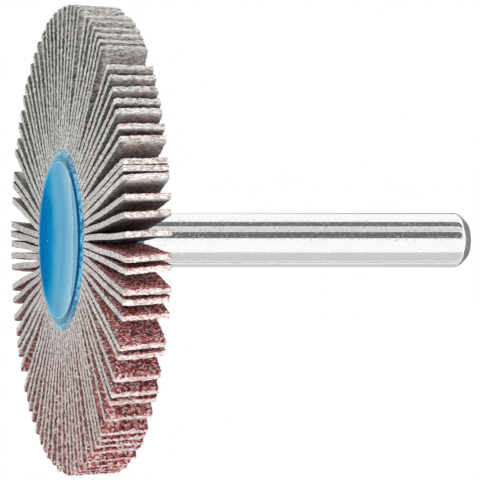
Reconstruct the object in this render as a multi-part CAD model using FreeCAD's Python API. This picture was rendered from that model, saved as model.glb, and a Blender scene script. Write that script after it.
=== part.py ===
import FreeCAD
import Part
import math
import os

# Flap wheel on a plain shank. Lengths are in millimetres and angles in degrees.
# The origin is the centre of the hub's front face, and +Z runs along the shank to its free end.

# Wheel
WHEEL_DIA = 51.7
FLAP_COUNT = 86
FLAP_THICK = 0.64
RIM_WIDTH = 5.3
RIM_TAPER = 0.3
FRONT_SET_BACK = 0.70
REAR_SET_IN = 0.15
ROOT_CLEARANCE = 0.032
ROOT_START = 3.3
BEND_RUN = 1.2
FLAPS_PER_NODE = 2

# Twist of the flaps at the rim, front edge to rear edge: its mean, and how much more it is on the +X side
TWIST_MEAN = 0.7
TWIST_SWING = 0.4

# Open spaces between neighbouring flap tips, as degrees of rim, in order clockwise from +X seen from the shank
TIP_START = 0.0
TIP_SPACES = (
    2.6, 2.6, 2.6, 2.6, 3.4, 4.0, 1.9, 1.3, 1.4, 4.5, 4.4, 1.2, 3.4, 5.2, 1.1, 6.4, 2.6, 1.0, 4.0, 1.5, 4.5, 3.5,
    2.9, 3.6, 0.7, 0.4, 4.5, 1.9, 3.0, 1.5, 2.4, 2.4, 2.0, 6.4, 1.3, 1.6, 1.9, 2.8, 2.5, 6.3, 2.2, 2.2, 2.2, 3.2,
    3.4, 3.3, 2.9, 2.2, 3.0, 4.4, 3.2, 2.7, 2.9, 1.6, 2.1, 3.3, 2.2, 3.0, 1.6, 4.4, 1.0, 2.7, 4.8, 0.7, 1.0, 1.6,
    1.6, 3.6, 2.0, 3.2, 2.5, 1.9, 1.2, 2.6, 5.3, 1.8, 1.8, 2.7, 3.6, 3.4, 2.4, 2.8, 3.6, 4.2, 4.2, 3.6,
)

# Radii of the rounded outer corners of the flaps, in turn round the rim
CORNER_RADII = (0.25, 0.15, 0.35, 0.2, 0.5, 0.15, 0.3, 0.2, 0.4)

# Hub, cast round the inner end of the shank and over the flap roots
FLANGE_LAP = 0.55
FRONT_FLANGE = 0.40
REAR_FLANGE = 0.85
REAR_ROUND = 0.45
FLANGE_EDGE = 0.10
LIP_SET_IN = 0.95
LIP_WIDTH = 0.15
LIP_BULGE = 0.03
DISH_DEPTH = 0.85
SHANK_COVER = 0.8

# Shank, with a knurled foot that keys it into the casting
SHANK_DIA = 6.0
SHANK_REACH = 40.05
SHANK_CHAMFER = 1.2
KNURL_TEETH = 30
KNURL_DEPTH = 0.2

# Places that follow from the sizes
WHEEL_R = WHEEL_DIA / 2
SHANK_R = SHANK_DIA / 2
HALF_THICK = FLAP_THICK / 2
ROOT_R = FLAP_COUNT * (FLAP_THICK + ROOT_CLEARANCE) / (2 * math.pi)
FLANGE_R = ROOT_R + FLANGE_LAP
ROOT_FRONT_Z = FRONT_FLANGE
TIP_FRONT_Z = ROOT_FRONT_Z + FRONT_SET_BACK
TIP_REAR_Z = TIP_FRONT_Z + RIM_WIDTH
ROOT_REAR_Z = TIP_REAR_Z + REAR_SET_IN
HUB_REAR_Z = ROOT_REAR_Z + REAR_FLANGE
SHANK_FOOT_Z = DISH_DEPTH + SHANK_COVER
SHANK_END_Z = ROOT_REAR_Z + SHANK_REACH

AXIS_POINT = FreeCAD.Vector(0, 0, 0)
AXIS = FreeCAD.Vector(0, 0, 1)

# A flap that stands straight is drawn with this little drift at its tip, so that every flap has the same edges
LEAST_DRIFT = 0.01

# A bent strip is drawn this much longer than its flap before it is cut to the flap's outline
STRIP_OVERLENGTH = 1.1


def in_section(radius, z):
    """A point of a section that is turned about the axis."""
    return FreeCAD.Vector(radius, 0, z)


def arc(start, middle, end):
    return Part.Arc(start, middle, end).toShape()


def line(start, end):
    return Part.LineSegment(start, end).toShape()


def round_between(start, end, centre):
    """A quarter round from start to end about a centre, all in the section."""
    middle = (start + end) / 2 - centre
    middle.normalize()
    return arc(start, centre + middle * (start - centre).Length, end)


def turned(edges):
    """The solid that a closed section makes when it is turned about the axis."""
    return Part.Face(Part.Wire(edges)).revolve(AXIS_POINT, AXIS, 360)


def make_shank():
    """A plain round shank with a chamfered free end, and a straight knurl on the length that the hub holds."""
    section = [
        in_section(0, HUB_REAR_Z),
        in_section(SHANK_R, HUB_REAR_Z),
        in_section(SHANK_R, SHANK_END_Z - SHANK_CHAMFER),
        in_section(SHANK_R - SHANK_CHAMFER, SHANK_END_Z),
        in_section(0, SHANK_END_Z),
        in_section(0, HUB_REAR_Z),
    ]
    stem = Part.Face(Part.makePolygon(section)).revolve(AXIS_POINT, AXIS, 360)
    teeth = []
    for i in range(2 * KNURL_TEETH + 1):
        radius = SHANK_R if i % 2 == 0 else SHANK_R - KNURL_DEPTH
        angle = math.pi * i / KNURL_TEETH
        teeth.append(FreeCAD.Vector(radius * math.cos(angle), radius * math.sin(angle), SHANK_FOOT_Z))
    foot = Part.Face(Part.makePolygon(teeth)).extrude(FreeCAD.Vector(0, 0, HUB_REAR_Z - SHANK_FOOT_Z))
    return stem.fuse(foot)


def make_hub(shank):
    """The cast hub: dished front face, a narrow lip, and flanges that slope from it and lap over the flap roots."""
    lip_outer_r = FLANGE_R - LIP_SET_IN
    dish_r = lip_outer_r - LIP_WIDTH
    dish_sphere_r = (dish_r ** 2 + DISH_DEPTH ** 2) / (2 * DISH_DEPTH)
    dish_half_r = dish_r / 2
    dish_half_z = DISH_DEPTH - dish_sphere_r + math.sqrt(dish_sphere_r ** 2 - dish_half_r ** 2)
    centre = in_section(0, DISH_DEPTH)
    dish_edge = in_section(dish_r, 0)
    lip_edge = in_section(lip_outer_r, 0)
    front_edge = in_section(FLANGE_R, FRONT_FLANGE - FLANGE_EDGE)
    slope_out = in_section(front_edge.z, -LIP_SET_IN).normalize()
    slope_mid = (lip_edge + front_edge) / 2 + slope_out * LIP_BULGE
    front_corner = in_section(FLANGE_R, FRONT_FLANGE)
    seat_front = in_section(ROOT_R, ROOT_FRONT_Z)
    seat_rear = in_section(ROOT_R, ROOT_REAR_Z)
    rear_corner = in_section(FLANGE_R, ROOT_REAR_Z)
    rear_shoulder = in_section(FLANGE_R, HUB_REAR_Z - REAR_ROUND)
    rear_edge = in_section(FLANGE_R - REAR_ROUND, HUB_REAR_Z)
    rear_centre = in_section(0, HUB_REAR_Z)
    blank = turned([
        arc(centre, in_section(dish_half_r, dish_half_z), dish_edge),
        line(dish_edge, lip_edge),
        arc(lip_edge, slope_mid, front_edge),
        line(front_edge, front_corner),
        line(front_corner, seat_front),
        line(seat_front, seat_rear),
        line(seat_rear, rear_corner),
        line(rear_corner, rear_shoulder),
        round_between(rear_shoulder, rear_edge, in_section(FLANGE_R - REAR_ROUND, HUB_REAR_Z - REAR_ROUND)),
        line(rear_edge, rear_centre),
        line(rear_centre, centre),
    ])
    return blank.cut(shank)


def tip_angles():
    """Where each flap's tip is on the rim: its own width, and its share of what the flaps leave open."""
    spaces = [TIP_SPACES[i % len(TIP_SPACES)] for i in range(FLAP_COUNT)]
    flap_angle = math.degrees(FLAP_THICK / WHEEL_R)
    open_share = (360 - FLAP_COUNT * flap_angle) / sum(spaces)
    angles = []
    angle = TIP_START
    for space in spaces:
        angles.append(angle)
        angle += flap_angle + open_share * space
    return angles


def tip_place(lean):
    """How far a leaning tip reaches beyond the flanges, and how far it drifts sideways."""
    reach = WHEEL_R * math.cos(math.radians(lean)) - FLANGE_R
    drift = WHEEL_R * math.sin(math.radians(lean))
    if abs(drift) < LEAST_DRIFT:
        drift = LEAST_DRIFT
    return reach, drift


def strip_section(lean, z):
    """The thin outline of a strip at a height, with its root on +X.

    The strip is held straight under the flanges, bends just outside them, and runs straight on past its tip.
    """
    reach, drift = tip_place(lean)
    turn = math.atan2(drift, reach - BEND_RUN)
    bend_r = BEND_RUN / math.tan(turn / 2)
    run = STRIP_OVERLENGTH * math.hypot(reach - BEND_RUN, drift)
    seat_x = math.sqrt(ROOT_R ** 2 - HALF_THICK ** 2)

    def bent(side, share):
        """A point on the bend, off its middle line by side, at a share of the whole turn."""
        angle = share * turn
        x = FLANGE_R + (bend_r - side) * math.sin(angle)
        return FreeCAD.Vector(x, bend_r - (bend_r - side) * math.cos(angle), z)

    def end(side):
        return bent(side, 1) + FreeCAD.Vector(run * math.cos(turn), run * math.sin(turn), 0)

    low_seat = FreeCAD.Vector(seat_x, -HALF_THICK, z)
    high_seat = FreeCAD.Vector(seat_x, HALF_THICK, z)
    return Part.Wire([
        line(low_seat, bent(-HALF_THICK, 0)),
        arc(bent(-HALF_THICK, 0), bent(-HALF_THICK, 0.5), bent(-HALF_THICK, 1)),
        line(bent(-HALF_THICK, 1), end(-HALF_THICK)),
        line(end(-HALF_THICK), end(HALF_THICK)),
        line(end(HALF_THICK), bent(HALF_THICK, 1)),
        arc(bent(HALF_THICK, 1), bent(HALF_THICK, 0.5), bent(HALF_THICK, 0)),
        line(bent(HALF_THICK, 0), high_seat),
        arc(high_seat, FreeCAD.Vector(ROOT_R, 0, z), low_seat),
    ])


def outline_block(lean, corner_radius):
    """A block with a flap's outline, square to its tip: parallel in the hub, narrower and rounded at the rim."""
    reach, drift = tip_place(lean)
    turn = math.atan2(drift, reach - BEND_RUN)
    to_flange = reach * math.cos(turn) + drift * math.sin(turn) - HALF_THICK
    to_inside = to_flange + 2 * (FLANGE_LAP + FLAP_THICK)
    depth = WHEEL_R
    outline = Part.makePolygon([
        in_section(-to_inside, ROOT_FRONT_Z),
        in_section(-to_flange, ROOT_FRONT_Z),
        in_section(0, TIP_FRONT_Z),
        in_section(-RIM_TAPER, TIP_REAR_Z),
        in_section(-to_flange, ROOT_REAR_Z),
        in_section(-to_inside, ROOT_REAR_Z),
        in_section(-to_inside, ROOT_FRONT_Z),
    ])
    block = Part.Face(outline).extrude(FreeCAD.Vector(0, depth, 0))
    at_tip = [edge for edge in block.Edges if edge.BoundBox.XMin > -to_flange / 2]
    corners = [edge for edge in at_tip if edge.BoundBox.YLength > depth / 2]
    block = block.makeFillet(corner_radius, corners)
    block.translate(FreeCAD.Vector(0, -depth / 2, 0))
    block.rotate(AXIS_POINT, AXIS, math.degrees(turn))
    block.translate(FreeCAD.Vector(FLANGE_R + reach, drift, 0))
    return block


def make_flap(lean, twist, corner_radius):
    """A flap with its root on +X. Its rear corner stands further clockwise than its front one, by the twist."""
    front_share = (TIP_FRONT_Z + TIP_REAR_Z) / 2 / RIM_WIDTH
    rear_share = HUB_REAR_Z / RIM_WIDTH - front_share
    front = strip_section(lean + front_share * twist, 0)
    rear = strip_section(lean - rear_share * twist, HUB_REAR_Z)
    strip = Part.makeLoft([front, rear], True, True)
    return strip.common(outline_block(lean, corner_radius)).Solids[0]


def make_flaps():
    """All flaps, clockwise from +X: roots evenly spaced on the hub, tips as they stand in the fan."""
    root_pitch = 360 / FLAP_COUNT
    flaps = []
    for i, tip in enumerate(tip_angles()):
        root = ROOT_START + i * root_pitch
        twist = TWIST_MEAN + TWIST_SWING * math.cos(math.radians(tip))
        flap = make_flap(root - tip, twist, CORNER_RADII[i % len(CORNER_RADII)])
        flap.rotate(AXIS_POINT, AXIS, -root)
        flaps.append(flap)
    return flaps


def save(name, shape):
    shape.exportStep("parts/" + name + ".step")


def main():
    os.makedirs("parts", exist_ok=True)
    shank = make_shank()
    save("shank", shank)
    save("hub_core", make_hub(shank))
    flaps = make_flaps()
    groups = [flaps[i:i + FLAPS_PER_NODE] for i in range(0, FLAP_COUNT, FLAPS_PER_NODE)]
    for number, group in enumerate(groups, 1):
        save("flap_pair_%02d" % number, Part.makeCompound(group))


main()
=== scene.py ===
import math

import bmesh
import bpy
import numpy as np
from mathutils import Matrix, Vector


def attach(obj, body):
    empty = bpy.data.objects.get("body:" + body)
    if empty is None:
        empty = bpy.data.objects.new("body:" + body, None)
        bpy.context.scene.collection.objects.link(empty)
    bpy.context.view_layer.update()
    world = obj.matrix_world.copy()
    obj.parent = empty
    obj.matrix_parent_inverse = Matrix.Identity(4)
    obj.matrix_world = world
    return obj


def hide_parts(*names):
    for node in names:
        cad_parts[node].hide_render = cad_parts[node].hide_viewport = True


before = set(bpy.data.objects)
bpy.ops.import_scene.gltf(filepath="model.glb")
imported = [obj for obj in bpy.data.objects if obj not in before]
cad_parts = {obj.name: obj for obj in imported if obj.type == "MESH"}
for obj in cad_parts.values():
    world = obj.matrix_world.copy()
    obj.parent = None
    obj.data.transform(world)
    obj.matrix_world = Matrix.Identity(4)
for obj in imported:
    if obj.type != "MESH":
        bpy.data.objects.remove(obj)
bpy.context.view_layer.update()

# Sizes of the wheel in millimetres, as the frame's solids have them
MM = 0.001
WHEEL_R = 25.85
FLAP_COUNT = 86
FLAP_THICK = 0.64
ROOT_PITCH = 360 / FLAP_COUNT
ROOT_R = FLAP_COUNT * (FLAP_THICK + 0.032) / (2 * math.pi)
ROOT_START = 3.3
ROOT_GAP = 0.05
BEND_RUN = 1.2
FLANGE_R = ROOT_R + 0.55
ROOT_FRONT_Z = 0.40
TIP_FRONT_Z = 1.10
TIP_REAR_Z = 6.40
ROOT_REAR_Z = 6.55
HUB_REAR_Z = 7.40
REAR_ROUND = 0.45
RIM_TAPER = 0.3
TWIST_MEAN = 0.7
TWIST_SWING = 0.4
FLANGE_EDGE = 0.10
LIP_SET_IN = 0.95
LIP_WIDTH = 0.15
LIP_BULGE = 0.03
DISH_DEPTH = 0.85
SHANK_R = 3.0
SHANK_END_Z = 46.60
SHANK_CHAMFER = 1.2
SHANK_CHAMFER_ROUND = 0.5

# Open spaces between neighbouring flap tips in degrees, and corner radii, in order clockwise from +X
TIP_SPACES = (
    2.6, 2.6, 2.6, 2.6, 3.4, 4.0, 1.9, 1.3, 1.4, 4.5, 4.4, 1.2, 3.4, 5.2, 1.1, 6.4, 2.6, 1.0, 4.0, 1.5,
    4.5, 3.5, 2.9, 3.6, 0.7, 0.4, 4.5, 1.9, 3.0, 1.5, 2.4, 2.4, 2.0, 6.4, 1.3, 1.6, 1.9, 2.8, 2.5, 6.3,
    2.2, 2.2, 2.2, 3.2, 3.4, 3.3, 2.9, 2.2, 3.0, 4.4, 3.2, 2.7, 2.9, 1.6, 2.1, 3.3, 2.2, 3.0, 1.6, 4.4,
    1.0, 2.7, 4.8, 0.7, 1.0, 1.6, 1.6, 3.6, 2.0, 3.2, 2.5, 1.9, 1.2, 2.6, 5.3, 1.8, 1.8, 2.7, 3.6, 3.4,
    2.4, 2.8, 3.6, 4.2, 4.2, 3.6,
)
CORNER_RADII = (0.25, 0.15, 0.35, 0.2, 0.5, 0.15, 0.3, 0.2, 0.4)

# The camera of the photograph: it looks across the shank, and a little along it
VIEW_TILT = 14.6
VIEW_DISTANCE = 2300.0
VIEW_WIDTH = 52.85
AIM = (-0.02, 0.0, 20.65)
SENSOR = 36.0
CLIP_START = 0.05
CLIP_END = 20.0

# Patterns of the materials, as repeats in a metre. Three numbers stretch a pattern along x, y and z
GRIT = 4200.0
EDGE_RAGS = 3600.0
CLOTH_BLOTCHES = 900.0
CLOTH_FIBRES = (5000.0, 5000.0, 1700.0)
RESIN_CLOUDS = 260.0
RESIN_PATCHES = 1900.0
RESIN_SPECKS = 1300.0
RESIN_EDGE_SPECKS = 2800.0
RESIN_RIPPLES = 340.0
STEEL_LONG_MARKS = (3000.0, 3000.0, 60.0)
STEEL_ROUND_MARKS = (120.0, 120.0, 5200.0)
STEEL_SPOTS = 620.0
STEEL_PITS = 4600.0


# Node materials
def new_material(name):
    material = bpy.data.materials.new(name)
    material.use_nodes = True
    tree = material.node_tree
    tree.nodes.clear()
    output = tree.nodes.new("ShaderNodeOutputMaterial")
    shader = tree.nodes.new("ShaderNodeBsdfPrincipled")
    tree.links.new(shader.outputs["BSDF"], output.inputs["Surface"])
    return material, tree, shader


def add(tree, kind, inputs=None, **settings):
    """A node with its settings and inputs: an input is a value, or the output socket that feeds it."""
    node = tree.nodes.new(kind)
    for name, value in settings.items():
        setattr(node, name, value)
    for name, value in (inputs or {}).items():
        if isinstance(value, bpy.types.NodeSocket):
            tree.links.new(value, node.inputs[name])
        else:
            node.inputs[name].default_value = value
    return node


def ramp(tree, source, stops):
    """A colour ramp over (place, colour) stops, with colours in linear light."""
    node = tree.nodes.new("ShaderNodeValToRGB")
    elements = node.color_ramp.elements
    while len(elements) < len(stops):
        elements.new(0.5)
    for element, (place, colour) in zip(elements, stops):
        element.position = place
        element.color = (*colour, 1)
    tree.links.new(source, node.inputs["Fac"])
    return node.outputs["Color"]


def math_node(tree, operation, a, b):
    return add(tree, "ShaderNodeMath", {0: a, 1: b}, operation=operation).outputs[0]


def times(tree, a, b):
    return math_node(tree, "MULTIPLY", a, b)


def plus(tree, a, b):
    return math_node(tree, "ADD", a, b)


def spread(tree, value, low, high, start=0.0, end=1.0):
    """Runs from start to end while the value runs from low to high, and holds beyond them."""
    limits = {"From Min": low, "From Max": high, "To Min": start, "To Max": end}
    return add(tree, "ShaderNodeMapRange", {"Value": value, **limits}).outputs[0]


def blend(tree, factor, a, b):
    """A number between two numbers."""
    return add(tree, "ShaderNodeMix", {"Factor": factor, 2: a, 3: b}, data_type="FLOAT").outputs[0]


def mixed(tree, factor, a, b):
    """A colour between two colours."""
    node = add(tree, "ShaderNodeMix", {"Factor": factor}, data_type="RGBA")
    for socket, value in ((node.inputs[6], a), (node.inputs[7], b)):
        if isinstance(value, bpy.types.NodeSocket):
            tree.links.new(value, socket)
        else:
            socket.default_value = (*value, 1)
    return node.outputs[2]


def noise(tree, place, scale, detail, roughness=0.5):
    inputs = {"Vector": place, "Scale": scale, "Detail": detail, "Roughness": roughness}
    return add(tree, "ShaderNodeTexNoise", inputs).outputs["Fac"]


def stretched(tree, place, scales):
    return add(tree, "ShaderNodeMapping", {"Vector": place, "Scale": scales}).outputs[0]


def cells(tree, place, scale):
    """Cells like grains: the distance from a cell's middle, and a random number for each cell."""
    node = add(tree, "ShaderNodeTexVoronoi", {"Vector": place, "Scale": scale})
    pick = add(tree, "ShaderNodeSeparateColor", {"Color": node.outputs["Color"]}).outputs["Red"]
    return node.outputs["Distance"], pick


def raise_surface(tree, shader, height, strength, distance):
    bump = add(tree, "ShaderNodeBump", {"Height": height, "Strength": strength, "Distance": distance})
    tree.links.new(bump.outputs["Normal"], shader.inputs["Normal"])


def coated_cloth():
    """Cloth with red-brown grain bonded to one face, a grey back, and pale threads at its cut edges.

    The layer value runs through the thickness, and across from the front edge to the rear one. The back
    carries
    painted shade: pale near the open tips, painted dark deeper between flaps and along the front edge. On the
    cut edges cut is 1, and fringe is how far grain shows on them.
    """
    material, tree, shader = new_material("coated_cloth")
    place = add(tree, "ShaderNodeTexCoord").outputs["Object"]
    layer, painted_light_share, across, tone, cut, fringe = (
        add(tree, "ShaderNodeAttribute", attribute_name=name).outputs["Fac"]
        for name in ("layer", "painted_light_share", "across", "tone", "cut", "fringe")
    )

    # Grain covers one face, and shows raggedly along the cut edges
    ragged = math_node(tree, "SUBTRACT", noise(tree, place, EDGE_RAGS, 2.0), 0.5)
    shown = plus(tree, plus(tree, layer, times(tree, ragged, 0.5)), times(tree, fringe, 0.24))
    is_grain = blend(tree, cut, spread(tree, layer, 0.5, 0.6), spread(tree, shown, 0.98, 1.06))

    # The cloth, pale at the cut edges; on the back, painted shade darkens it deep between flaps and along the
    # front edge, and it stays pale near the open tips
    fibres = noise(tree, stretched(tree, place, CLOTH_FIBRES), 1.0, 3.0, 0.7)
    weave = times(tree, spread(tree, fibres, 0.38, 0.62), 0.7)
    cloth_mix = plus(tree, weave, times(tree, tone, 0.12))
    cloth_mix = plus(tree, cloth_mix, times(tree, noise(tree, place, CLOTH_BLOTCHES, 2.0), 0.3))
    open_cloth = ramp(tree, cloth_mix, [
        (0.25, (0.26, 0.275, 0.245)), (0.50, (0.66, 0.69, 0.65)), (0.72, (0.85, 0.87, 0.84)),
        (0.95, (0.94, 0.95, 0.93)),
    ])
    # Painted shade: a dark copy of the cloth for the back deep between flaps
    painted_shade_cloth = ramp(tree, cloth_mix, [
        (0.25, (0.03, 0.030, 0.027)), (0.55, (0.12, 0.123, 0.111)), (0.95, (0.32, 0.325, 0.305)),
    ])
    # Painted shade on the back, darkest along the front edge and deep between flaps, with the pale cloth
    # where it is unshaded
    inside = spread(tree, across, 0.03, 0.14, 0.10)
    back = mixed(tree, times(tree, painted_light_share, inside), painted_shade_cloth, open_cloth)
    pale = ramp(tree, cloth_mix, [
        (0.22, (0.29, 0.275, 0.25)), (0.45, (0.67, 0.65, 0.61)), (0.70, (0.86, 0.84, 0.81)),
        (0.95, (0.94, 0.93, 0.91)),
    ])
    dusted = ramp(tree, cloth_mix, [
        (0.22, (0.46, 0.22, 0.21)), (0.45, (0.80, 0.60, 0.57)), (0.70, (0.92, 0.81, 0.78)),
        (0.95, (0.96, 0.91, 0.89)),
    ])
    threads = mixed(tree, times(tree, fringe, 0.8), pale, dusted)
    cloth = mixed(tree, cut, back, threads)

    # The grain, with painted shade darkening it in the margin along the front edge, and paler on the rim
    grit, pick = cells(tree, place, GRIT)
    face = ramp(tree, pick, [
        (0.0, (0.05, 0.010, 0.012)), (0.20, (0.19, 0.028, 0.032)), (0.42, (0.46, 0.075, 0.08)),
        (0.66, (0.68, 0.19, 0.19)), (0.82, (0.86, 0.50, 0.48)), (0.94, (0.95, 0.80, 0.77)),
    ])
    # Painted shade: a darker copy of the grain for the margin along the front edge
    painted_shade_face = ramp(tree, pick, [
        (0.0, (0.07, 0.03, 0.03)), (0.4, (0.19, 0.095, 0.09)), (0.75, (0.34, 0.21, 0.20)),
        (0.95, (0.60, 0.46, 0.44)),
    ])
    rim = ramp(tree, pick, [
        (0.0, (0.24, 0.05, 0.06)), (0.3, (0.50, 0.17, 0.18)), (0.6, (0.72, 0.42, 0.41)),
        (0.88, (0.90, 0.76, 0.74)),
    ])
    face = mixed(tree, spread(tree, across, PAINTED_SHADE_MARGIN, 0.0), face, painted_shade_face)
    grain = mixed(tree, cut, face, rim)
    tree.links.new(mixed(tree, is_grain, cloth, grain), shader.inputs["Base Color"])
    dull = spread(tree, pick, 0.6, 1.0, 0.85, 0.3)
    tree.links.new(blend(tree, is_grain, 0.95, dull), shader.inputs["Roughness"])
    raise_surface(tree, shader, blend(tree, is_grain, fibres, grit), 0.8, 0.00012)
    return material


def cast_resin():
    """Glossy blue resin with a painted highlight ring and a painted shade ring at the lip, paler at the thin
    edge, and pale specks, many at the thin edge and a few in the dish.
    """
    material, tree, shader = new_material("cast_resin")
    place = add(tree, "ShaderNodeTexCoord").outputs["Object"]
    body = ramp(tree, noise(tree, place, RESIN_CLOUDS, 3.0), [
        (0.3, (0.0, 0.18, 0.52)), (0.5, (0.0, 0.215, 0.57)), (0.7, (0.0, 0.26, 0.62)),
    ])

    # Rings by radius: a painted highlight on the crest inside the lip, painted shade on the slope outside it,
    # and the thin edge
    flat = add(tree, "ShaderNodeVectorMath", {0: place, 1: (1.0, 1.0, 0.0)}, operation="MULTIPLY").outputs[0]
    radius = add(tree, "ShaderNodeVectorMath", {0: flat}, operation="LENGTH").outputs["Value"]
    lip_r = FLANGE_R - LIP_SET_IN
    painted_highlight_ring = spread(tree, radius, (lip_r - 0.45) * MM, (lip_r - 0.15) * MM)
    painted_shade_ring = spread(tree, radius, lip_r * MM, (lip_r + 0.08) * MM)
    edge = spread(tree, radius, (FLANGE_R - 0.48) * MM, (FLANGE_R - 0.30) * MM)
    patch = spread(tree, noise(tree, place, RESIN_PATCHES, 3.0), 0.42, 0.58)
    thin_resin = mixed(tree, patch, (0.0, 0.16, 0.38), (0.12, 0.50, 0.72))
    colour = mixed(tree, painted_highlight_ring, body, (0.14, 0.46, 0.76))
    colour = mixed(tree, painted_shade_ring, colour, (0.0, 0.08, 0.22))
    colour = mixed(tree, edge, colour, thin_resin)

    # Pale specks: a few anywhere, and many along the thin edge; the same cells raise small dots
    speck_cells, chosen = cells(tree, place, RESIN_SPECKS)
    specks = times(tree, math_node(tree, "LESS_THAN", chosen, 0.12), spread(tree, speck_cells, 0.15, 0.07))
    edge_specks = add(tree, "ShaderNodeTexVoronoi", {"Vector": place, "Scale": RESIN_EDGE_SPECKS}).outputs["Distance"]
    edge_specks = times(tree, edge, spread(tree, edge_specks, 0.28, 0.16))
    pale = math_node(tree, "MAXIMUM", specks, edge_specks)
    tree.links.new(mixed(tree, pale, colour, (0.62, 0.86, 0.92)), shader.inputs["Base Color"])
    shader.inputs["Roughness"].default_value = 0.05
    shader.inputs["IOR"].default_value = 1.5
    dots = times(tree, spread(tree, speck_cells, 0.05, 0.14), 0.12)
    raise_surface(tree, shader, plus(tree, dots, noise(tree, place, RESIN_RIPPLES, 1.0)), 0.12, 0.0003)
    return material


def ground_steel():
    """Bright steel with faint marks round and along the shank, fine pits, and a few small grey spots."""
    material, tree, shader = new_material("ground_steel")
    place = add(tree, "ShaderNodeTexCoord").outputs["Object"]
    streaks = noise(tree, stretched(tree, place, STEEL_LONG_MARKS), 1.0, 3.0)
    rings = noise(tree, stretched(tree, place, STEEL_ROUND_MARKS), 1.0, 2.0)
    spots, chosen = cells(tree, place, STEEL_SPOTS)
    grey = times(tree, math_node(tree, "GREATER_THAN", chosen, 0.88), spread(tree, spots, 0.12, 0.05))
    colour = mixed(tree, grey, (0.94, 0.94, 0.935), (0.45, 0.45, 0.44))
    tree.links.new(colour, shader.inputs["Base Color"])
    shader.inputs["Metallic"].default_value = 1.0
    tree.links.new(spread(tree, streaks, 0.0, 1.0, 0.04, 0.14), shader.inputs["Roughness"])
    hollows, closed = cells(tree, place, STEEL_PITS)
    closed = math_node(tree, "GREATER_THAN", closed, 0.6)
    pits = math_node(tree, "MAXIMUM", spread(tree, hollows, 0.0, 0.38), closed)
    marks = plus(tree, times(tree, streaks, 0.15), times(tree, rings, 0.25))
    raise_surface(tree, shader, plus(tree, marks, pits), 0.24, 0.00006)
    return material


# Meshes
def settle(mesh, material, weld=0.0):
    """Makes a mesh smooth, with normals that face out, and joins points that are nearer than weld."""
    work = bmesh.new()
    work.from_mesh(mesh)
    if weld:
        bmesh.ops.remove_doubles(work, verts=work.verts, dist=weld)
    bmesh.ops.recalc_face_normals(work, faces=work.faces)
    work.to_mesh(mesh)
    work.free()
    mesh.shade_smooth()
    mesh.materials.append(material)


def new_piece(mesh):
    piece = bpy.data.objects.new(mesh.name, mesh)
    bpy.context.scene.collection.objects.link(piece)
    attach(piece, "root")
    return piece


# Flaps: how finely each is divided, and how its cloth strays from the plain form, in millimetres
ALONG = 84
ACROSS = 26
LAYERS = 4
FLAP_SEED = 11
SHARP_ANGLE = 55
LEAST_DRIFT = 1e-3
FREE_RUN = 2.0
THREAD_PITCH = 0.62
BEAD_FRAY = 0.012
THREAD_FRAY = 0.030
FIBRE_FRAY = 0.030
FRONT_FRAY_SHARE = 0.6
WAVE = 0.05
GRAIN_ROUGH = 0.030
WEAVE_ROUGH = 0.018
ANY_PHASE = 6.3

# Looks of a flap by place: where its tip starts, how pink its edges are, the margin of painted shade along
# its front edge, and the depth where painted shade starts on its back
TIP_START = 0.985
FRINGE_MEAN = 0.60
FRINGE_SWING = 0.85
FRINGE_SPREAD = 0.15
FRONT_FRINGE = 0.25
PAINTED_SHADE_MARGIN = 0.12
PAINTED_SHADE_START = 0.2
PAINTED_SHADE_REACH = 1.0


def tip_angles():
    """Where each flap's tip is on the rim, clockwise from +X, in degrees."""
    flap_angle = math.degrees(FLAP_THICK / WHEEL_R)
    open_share = (360 - FLAP_COUNT * flap_angle) / sum(TIP_SPACES)
    steps = flap_angle + open_share * np.array(TIP_SPACES)
    return np.concatenate(([0.0], np.cumsum(steps)[:-1]))


def box_surface(shape):
    """The outer points of a lattice of this shape, the faces between them, and which are cut edges."""
    grid = np.indices(shape).reshape(3, -1).T
    ends = np.array(shape) - 1
    outside = ((grid == 0) | (grid == ends)).any(axis=1)
    number = np.full(len(grid), -1)
    number[outside] = np.arange(outside.sum())
    number = number.reshape(shape)
    faces, cuts = [], []
    for axis in range(3):
        for end in (0, -1):
            side = np.take(number, end, axis=axis)
            quads = np.stack([side[:-1, :-1], side[1:, :-1], side[1:, 1:], side[:-1, 1:]], axis=-1)
            faces.append(quads.reshape(-1, 4))
            cuts.append(np.full(len(faces[-1]), float(axis < 2)))
    return grid[outside], np.concatenate(faces), np.concatenate(cuts)


def bend_of(lean):
    """A flap's bend just outside the flanges: its turn, its radius, and the straight run after it."""
    reach = WHEEL_R * np.cos(np.radians(lean)) - FLANGE_R
    drift = WHEEL_R * np.sin(np.radians(lean))
    drift = np.where(np.abs(drift) < LEAST_DRIFT, LEAST_DRIFT, drift)
    turn = np.arctan2(drift, reach - BEND_RUN)
    radius = BEND_RUN / np.tan(turn / 2)
    return turn, radius, np.hypot(reach - BEND_RUN, drift) - BEND_RUN


def free_length(lean):
    turn, radius, run = bend_of(lean)
    return float(turn * radius + run)


def bend(length_along, side, lean):
    """Points of a flap with its root on +X: straight in the hub, a bend, and straight to a tip that leans."""
    turn, radius, _ = bend_of(lean)
    angle = np.clip(length_along, 0, turn * radius) / radius
    beyond = np.clip(length_along - turn * radius, 0, None)
    arm = radius - side
    x = FLANGE_R + arm * np.sin(angle) + np.clip(length_along, None, 0) + beyond * np.cos(turn)
    y = radius - arm * np.cos(angle) + beyond * np.sin(turn)
    return x, y


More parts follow.
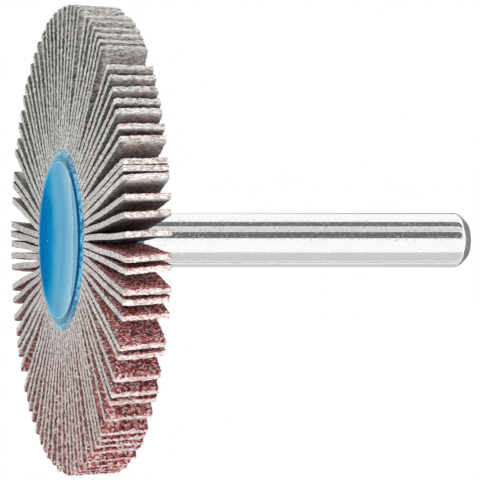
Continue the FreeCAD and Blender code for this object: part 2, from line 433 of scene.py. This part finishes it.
def flap_points(lattice, lean, twist, corner_radius, rng):
    """The points of one flap in millimetres, with frayed edges, a gritty face and a woven back."""
    along, across, layer = lattice.T
    v = across / ACROSS
    t = layer / LAYERS
    length = free_length(lean) - RIM_TAPER * v
    hidden = FLANGE_R - ROOT_R - ROOT_GAP
    s = np.where(along == 0, -hidden, (along - 1) / (ALONG - 1) * length)
    share = np.clip(s / length, 0, 1)
    front = ROOT_FRONT_Z + (TIP_FRONT_Z - ROOT_FRONT_Z) * share
    rear = ROOT_REAR_Z + (TIP_REAR_Z - ROOT_REAR_Z) * share
    z = front + (rear - front) * v

    # Rounded outer corners
    middle = (front + rear) / 2
    past_s = np.clip(s - (length - corner_radius), 0, None)
    past_z = np.clip(np.abs(z - middle) - ((rear - front) / 2 - corner_radius), 0, None)
    far = np.hypot(past_s, past_z)
    squeeze = np.where(far > 1e-9, np.maximum(past_s, past_z) / np.maximum(far, 1e-9), 1.0)
    s = s - past_s * (1 - squeeze)
    z = z - np.sign(z - middle) * past_z * (1 - squeeze)

    # Frayed edges: the beads of the cut threads, and single fibres
    beads = np.sin(2 * math.pi * (s + z) / THREAD_PITCH + rng.uniform(0, ANY_PHASE))
    thread = rng.normal(size=(ALONG + 1, ACROSS + 1))[along, across]
    fibre = rng.normal(size=len(s))
    fray = BEAD_FRAY * beads + THREAD_FRAY * thread + FIBRE_FRAY * fibre
    out_front = (across == 0) & (along > 1)
    out_rear = (across == ACROSS) & (along > 1)
    out_tip = along == ALONG
    z = z - np.where(out_front, FRONT_FRAY_SHARE * fray, 0) + np.where(out_rear, fray, 0)
    s = s + np.where(out_tip, fray, 0)

    # The faces: grit stands out of the grain face, and the weave out of the back
    half = FLAP_THICK / 2
    rough = rng.normal(size=len(s))
    side = half - FLAP_THICK * t
    free = np.clip(s / FREE_RUN, 0, 1)
    phase = s * rng.uniform(0.3, 0.6) + z * rng.uniform(0.5, 1.0) + rng.uniform(0, ANY_PHASE)
    side = side + WAVE * free * np.sin(phase)
    side = side - np.where(layer == LAYERS, GRAIN_ROUGH * rough * free, 0)
    side = side + np.where(layer == 0, WEAVE_ROUGH * rough * free, 0)
    x, y = bend(s, side, lean + twist * (0.5 - v))
    return np.stack([x, y, z], axis=-1)


def flap_group(number, flaps, material, surface, rng):
    """One piece for a node's flaps, each given as (root angle, lean, twist, corner, fringe, gap)."""
    lattice, quads, cuts = surface
    outward = lattice[:, 0] / ALONG
    points, faces = [], []
    looks = {name: [] for name in ("layer", "across", "tone", "fringe", "painted_light_share")}
    for root, lean, twist, corner, fringe, gap in flaps:
        local = flap_points(lattice, lean, twist, corner, rng)
        angle = math.radians(-root)
        x = local[:, 0] * math.cos(angle) - local[:, 1] * math.sin(angle)
        y = local[:, 0] * math.sin(angle) + local[:, 1] * math.cos(angle)
        faces.append(quads + len(lattice) * len(points))
        points.append(np.stack([x, y, local[:, 2]], axis=-1) * MM)
        depth = (1 - outward) * free_length(lean)
        looks["layer"].append(lattice[:, 2] / LAYERS)
        looks["across"].append(lattice[:, 1] / ACROSS)
        looks["tone"].append(np.full(len(lattice), rng.uniform()))
        looks["fringe"].append(np.where(outward > TIP_START, fringe, FRONT_FRINGE * fringe))
        # Painted shade on the back: none near the tip, darker deeper in, and sooner where the gap to the
        # neighbour is narrow
        looks["painted_light_share"].append(np.clip(1 - (depth - PAINTED_SHADE_START) / (PAINTED_SHADE_REACH * gap ** 2), 0, 1))
    mesh = bpy.data.meshes.new("abrasive_flaps_%02d" % number)
    mesh.from_pydata(np.concatenate(points).tolist(), [], np.concatenate(faces).tolist())
    for name, values in looks.items():
        mesh.attributes.new(name, "FLOAT", "POINT").data.foreach_set("value", np.concatenate(values))
    mesh.attributes.new("cut", "FLOAT", "FACE").data.foreach_set("value", np.tile(cuts, len(flaps)))
    settle(mesh, material)
    mesh.set_sharp_from_angle(angle=math.radians(SHARP_ANGLE))
    piece = new_piece(mesh)
    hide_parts("flap_pair_%02d" % number)


def make_flaps():
    material = coated_cloth()
    surface = box_surface((ALONG + 1, ACROSS + 1, LAYERS + 1))
    rng = np.random.default_rng(FLAP_SEED)
    tips = tip_angles()
    roots = ROOT_START + ROOT_PITCH * np.arange(FLAP_COUNT)
    nearness = np.cos(np.radians(tips))
    twists = TWIST_MEAN + TWIST_SWING * nearness
    corners = [CORNER_RADII[i % len(CORNER_RADII)] for i in range(FLAP_COUNT)]
    uneven = rng.uniform(-FRINGE_SPREAD, FRINGE_SPREAD, FLAP_COUNT)
    fringes = np.clip(FRINGE_MEAN + FRINGE_SWING * nearness + uneven, 0, 1)
    # The open width beside each flap's back, which sets how soon its painted shade darkens
    gaps = WHEEL_R * np.radians(np.roll(TIP_SPACES, 1))
    flaps = list(zip(roots, roots - tips, twists, corners, fringes, gaps))
    for i in range(0, FLAP_COUNT, 2):
        flap_group(i // 2 + 1, flaps[i:i + 2], material, surface, rng)


# Turned pieces
TURN_STEPS = 240
TURN_WELD = 1e-7
DISH_EDGE = 0.08
LIP_EDGE = 0.06
FLANGE_ROUND = 0.04
REAR_COLLAR = 0.5
SHANK_OVERLAP = 0.5
SOFT_TURN = 0.7


def lathe(name, profile, material, ragged=None):
    """A smooth turned piece from a profile of (radius, z) in millimetres, which ragged may disturb."""
    verts, faces = [], []
    count = len(profile)
    for step in range(TURN_STEPS):
        angle = 2 * math.pi * step / TURN_STEPS
        for i, (radius, z) in enumerate(profile):
            if ragged:
                radius, z = ragged(i, angle, radius, z)
            verts.append((radius * math.cos(angle) * MM, radius * math.sin(angle) * MM, z * MM))
    for step in range(TURN_STEPS):
        here = step * count
        there = (step + 1) % TURN_STEPS * count
        for i in range(count - 1):
            faces.append((here + i, there + i, there + i + 1, here + i + 1))
    mesh = bpy.data.meshes.new(name)
    mesh.from_pydata(verts, [], faces)
    settle(mesh, material, TURN_WELD)
    return new_piece(mesh)


def rounded(start, corner, end, steps):
    """Points of a rounded corner between two profile points."""
    points = []
    for k in range(steps + 1):
        f = k / steps
        r = (1 - f) ** 2 * start[0] + 2 * f * (1 - f) * corner[0] + f ** 2 * end[0]
        z = (1 - f) ** 2 * start[1] + 2 * f * (1 - f) * corner[1] + f ** 2 * end[1]
        points.append((r, z))
    return points


def make_hub(resin):
    """The casting: dished face, rounded lip, waist under the flaps, and rear flange."""
    lip_outer = FLANGE_R - LIP_SET_IN
    dish_r = lip_outer - LIP_WIDTH
    front_edge_z = ROOT_FRONT_Z - FLANGE_EDGE
    waist_r = ROOT_R + ROOT_GAP
    ball = (dish_r ** 2 + DISH_DEPTH ** 2) / (2 * DISH_DEPTH)
    radii = np.linspace(0, dish_r - DISH_EDGE, 26)
    dish = [(r, DISH_DEPTH - ball + math.sqrt(ball ** 2 - r ** 2)) for r in radii]
    edge = rounded(dish[-1], (dish_r, 0), (dish_r + LIP_EDGE, 0), 5)
    slope_mid = ((lip_outer + FLANGE_R) / 2, front_edge_z / 2 - 2 * LIP_BULGE)
    lip = rounded((lip_outer, 0), slope_mid, (FLANGE_R - 0.03, front_edge_z), 9)
    lip += [(FLANGE_R, front_edge_z + FLANGE_ROUND), (FLANGE_R, ROOT_FRONT_Z)]
    waist = [(waist_r, ROOT_FRONT_Z), (waist_r, ROOT_REAR_Z), (FLANGE_R, ROOT_REAR_Z)]
    shoulder = (FLANGE_R, HUB_REAR_Z - REAR_ROUND)
    rear = rounded(shoulder, (FLANGE_R, HUB_REAR_Z), (FLANGE_R - REAR_ROUND, HUB_REAR_Z), 8)
    rear_end = [(SHANK_R + REAR_COLLAR, HUB_REAR_Z), (SHANK_R - 0.1, HUB_REAR_Z + 0.05)]
    piece = lathe("resin_hub", dish + edge[1:] + lip + waist + rear + rear_end, resin)
    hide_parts("hub_core")


# Resin that crept over the roots of the flaps: its reach and rise in millimetres, and the waves of its edge
CREEP_SEED = 5
CREEP_REACH = 0.20
CREEP_RISE = 0.02
CREEP_LEAST = -0.6
CREEP_WAVES = 24
CREEP_CALM = 6


def make_root_resin(resin):
    """Resin that crept out of the casting over the roots of the flaps, with a ragged edge."""
    rng = np.random.default_rng(CREEP_SEED)
    waves = []
    for _ in range(CREEP_WAVES):
        waves.append((rng.integers(9, 110), rng.uniform(0, ANY_PHASE), rng.uniform(0.3, 1.0)))

    def creep(i, angle, radius, z):
        reach = sum(size * math.sin(turns * angle + phase) for turns, phase, size in waves) / CREEP_CALM
        if i < 2:
            return radius, z
        return radius + CREEP_REACH * max(reach, CREEP_LEAST), z + CREEP_RISE * reach

    start_z = ROOT_FRONT_Z - FLANGE_EDGE
    profile = [
        (FLANGE_R - 0.15, start_z), (FLANGE_R, start_z + 0.03), (FLANGE_R + 0.10, start_z + 0.06),
        (FLANGE_R + 0.22, ROOT_FRONT_Z + 0.02),
    ]
    piece = lathe("root_resin", profile, resin, creep)


def make_shank():
    """The bare shank, from inside the hub's rear to its softened chamfer."""
    tip_r = SHANK_R - SHANK_CHAMFER
    start_z = SHANK_END_Z - SHANK_CHAMFER
    soft = SHANK_CHAMFER_ROUND
    turned = soft * SOFT_TURN
    body = [(SHANK_R, z) for z in np.linspace(HUB_REAR_Z - SHANK_OVERLAP, start_z - soft, 24)]
    shoulder = rounded((SHANK_R, start_z - soft), (SHANK_R, start_z), (SHANK_R - turned, start_z + turned), 5)
    nose_start = (tip_r + turned, SHANK_END_Z - turned)
    nose = rounded(nose_start, (tip_r, SHANK_END_Z), (tip_r - soft, SHANK_END_Z), 5)
    piece = lathe("steel_shank", body + shoulder[1:] + nose + [(0, SHANK_END_Z)], ground_steel())
    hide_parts("shank")


# Cards that only the steel mirrors: name, angle round the shank, width in metres, and grey
FLAGS = (
    ("dark_flag_upper", 72.2, 0.48, 0.15),
    ("grey_flag_gap", 47.0, 0.38, 0.70),
    ("dark_flag_front", 21.7, 0.56, 0.14),
    ("grey_flag_low", -76.0, 1.00, 0.62),
    ("dark_flag_low", -108.0, 0.12, 0.30),
    ("grey_flag_under", -140.0, 0.90, 0.62),
    ("grey_flag_top", 172.0, 0.30, 0.50),
)
FLAG_LENGTH = 4.0
DISH_GLOW = 1.25

# Lamps: name, place in metres, power in watts, and whether mirrors show it
LAMPS = (
    ("key_light", (-0.62, -0.66, -0.45), 4.4, True),
    ("low_light", (0.66, -0.70, -0.22), 4.8, True),
    ("fill_light", (0.05, -1.0, -0.26), 1.8, True),
    ("back_light", (-0.35, 0.45, 1.15), 9.0, False),
)
LAMP_SIZE = 0.5
LAMP_AIM = (0, 0, 0.015)
ROOM_LIGHT = 0.42
WHITE = (1, 1, 1, 1)
FLOOR_SIZE = 3.0


# Stage
def plane(name, size, place, facing, colour):
    """A flat card for the stage, facing a direction."""
    half = size / 2
    corners = [(-half, -half, 0), (half, -half, 0), (half, half, 0), (-half, half, 0)]
    mesh = bpy.data.meshes.new(name)
    mesh.from_pydata(corners, [], [(0, 1, 2, 3)])
    material, tree, shader = new_material(name)
    shader.inputs["Base Color"].default_value = (*colour, 1)
    shader.inputs["Roughness"].default_value = 1.0
    mesh.materials.append(material)
    card = bpy.data.objects.new(name, mesh)
    turn = Vector(facing).to_track_quat("Z", "Y").to_matrix().to_4x4()
    card.matrix_world = Matrix.Translation(place) @ turn
    bpy.context.scene.collection.objects.link(card)
    return card, tree, shader


def make_floor():
    """A pale floor under the standing wheel. It is seen from above only, so a view from below it is open."""
    floor, tree, shader = plane("pale_floor", FLOOR_SIZE, (0, 0, 0), (0, 0, 1), (0.86, 0.86, 0.86))
    under = add(tree, "ShaderNodeNewGeometry").outputs["Backfacing"]
    clear = add(tree, "ShaderNodeBsdfTransparent")
    both = add(tree, "ShaderNodeMixShader", {0: under, 1: shader.outputs[0], 2: clear.outputs[0]})
    output = next(n for n in tree.nodes if n.type == "OUTPUT_MATERIAL")
    tree.links.new(both.outputs[0], output.inputs["Surface"])
    floor.visible_diffuse = False
    floor.visible_glossy = False
    floor.visible_transmission = False
    floor.visible_shadow = False


def flag(name, away, width, height, shade, facing=None):
    """A card that only reflections see, of a grey that lamps don't change. It faces the object by itself."""
    card, tree, shader = plane(name, 1.0, away, facing or -away, (0.0, 0.0, 0.0))
    shader.inputs["Emission Color"].default_value = (shade, shade, shade, 1)
    shader.inputs["Emission Strength"].default_value = 1.0
    card.scale = (width, height, 1.0)
    card.visible_camera = False
    card.visible_diffuse = False
    card.visible_shadow = False
    return tree, shader


def make_flags():
    """Cards round the shank that give the steel its streaks, one over its end, and one before the hub."""
    for name, angle, width, shade in FLAGS:
        turn = math.radians(angle)
        flag(name, Vector((-math.sin(turn), -math.cos(turn), -0.25)), width, FLAG_LENGTH, shade)
    flag("dark_flag_end", Vector((0, 0.755, 0.933)), 1.6, 1.62, 0.22)

    # Before the hub: dark below, and paler towards the shank, so that the dish pales from left to right
    tree, shader = flag("shaded_flag_dish", Vector((0, 0.8, -0.57)), 0.36, 1.42, 0.0, Vector((0, -1, 0)))
    up = add(tree, "ShaderNodeTexCoord").outputs["Object"]
    up = add(tree, "ShaderNodeSeparateXYZ", {0: up}).outputs["Y"]
    shades = ramp(tree, plus(tree, up, 0.5), [
        (0.545, (0.0, 0.0, 0.02)), (0.58, (0.0, 0.24, 0.36)), (0.615, (0.0, 0.50, 0.56)),
        (0.635, (0.08, 0.74, 0.78)), (0.66, (0.38, 0.96, 0.94)), (0.70, (0.48, 0.98, 0.94)),
        (0.74, (0.36, 0.82, 0.80)), (0.79, (0.48, 0.86, 0.86)), (0.84, (0.60, 0.88, 0.88)),
        (1.0, (0.72, 0.94, 0.96)),
    ])
    tree.links.new(shades, shader.inputs["Emission Color"])
    shader.inputs["Emission Strength"].default_value = DISH_GLOW


def make_lamps():
    for name, place, power, mirrored in LAMPS:
        data = bpy.data.lights.new(name, "AREA")
        data.shape = "SQUARE"
        data.size = LAMP_SIZE
        data.energy = power
        light = bpy.data.objects.new(name, data)
        light.location = place
        light.rotation_euler = (Vector(LAMP_AIM) - Vector(place)).to_track_quat("-Z", "Y").to_euler()
        light.visible_camera = False
        light.visible_glossy = mirrored
        bpy.context.scene.collection.objects.link(light)


def make_world():
    """White where it is seen or mirrored, and softer as a light."""
    world = bpy.data.worlds.new("studio")
    bpy.context.scene.world = world
    world.use_nodes = True
    tree = world.node_tree
    tree.nodes.clear()
    path = add(tree, "ShaderNodeLightPath")
    seen = math_node(tree, "MAXIMUM", path.outputs["Is Camera Ray"], path.outputs["Is Glossy Ray"])
    soft = add(tree, "ShaderNodeBackground", {"Color": WHITE, "Strength": ROOM_LIGHT})
    white = add(tree, "ShaderNodeBackground", {"Color": WHITE, "Strength": 1.0})
    both = add(tree, "ShaderNodeMixShader", {0: seen, 1: soft.outputs[0], 2: white.outputs[0]})
    output = add(tree, "ShaderNodeOutputWorld")
    tree.links.new(both.outputs[0], output.inputs["Surface"])


def make_camera():
    tilt = math.radians(VIEW_TILT)
    right = Vector((0, -math.sin(tilt), math.cos(tilt)))
    up = Vector((-1, 0, 0))
    back = Vector((0, -math.cos(tilt), -math.sin(tilt)))
    place = Vector(AIM) * MM + back * VIEW_DISTANCE * MM
    data = bpy.data.cameras.new("photo_camera")
    data.sensor_width = SENSOR
    data.lens = SENSOR * VIEW_DISTANCE / VIEW_WIDTH
    data.clip_start = CLIP_START
    data.clip_end = CLIP_END
    camera = bpy.data.objects.new("photo_camera", data)
    turn = Matrix((right, up, back)).transposed().to_4x4()
    camera.matrix_world = Matrix.Translation(place) @ turn
    bpy.context.scene.collection.objects.link(camera)
    bpy.context.scene.camera = camera


cast = cast_resin()
make_flaps()
make_hub(cast)
make_root_resin(cast)
make_shank()
make_floor()
make_flags()
make_lamps()
make_world()
make_camera()
bpy.context.scene.view_settings.view_transform = "Standard"
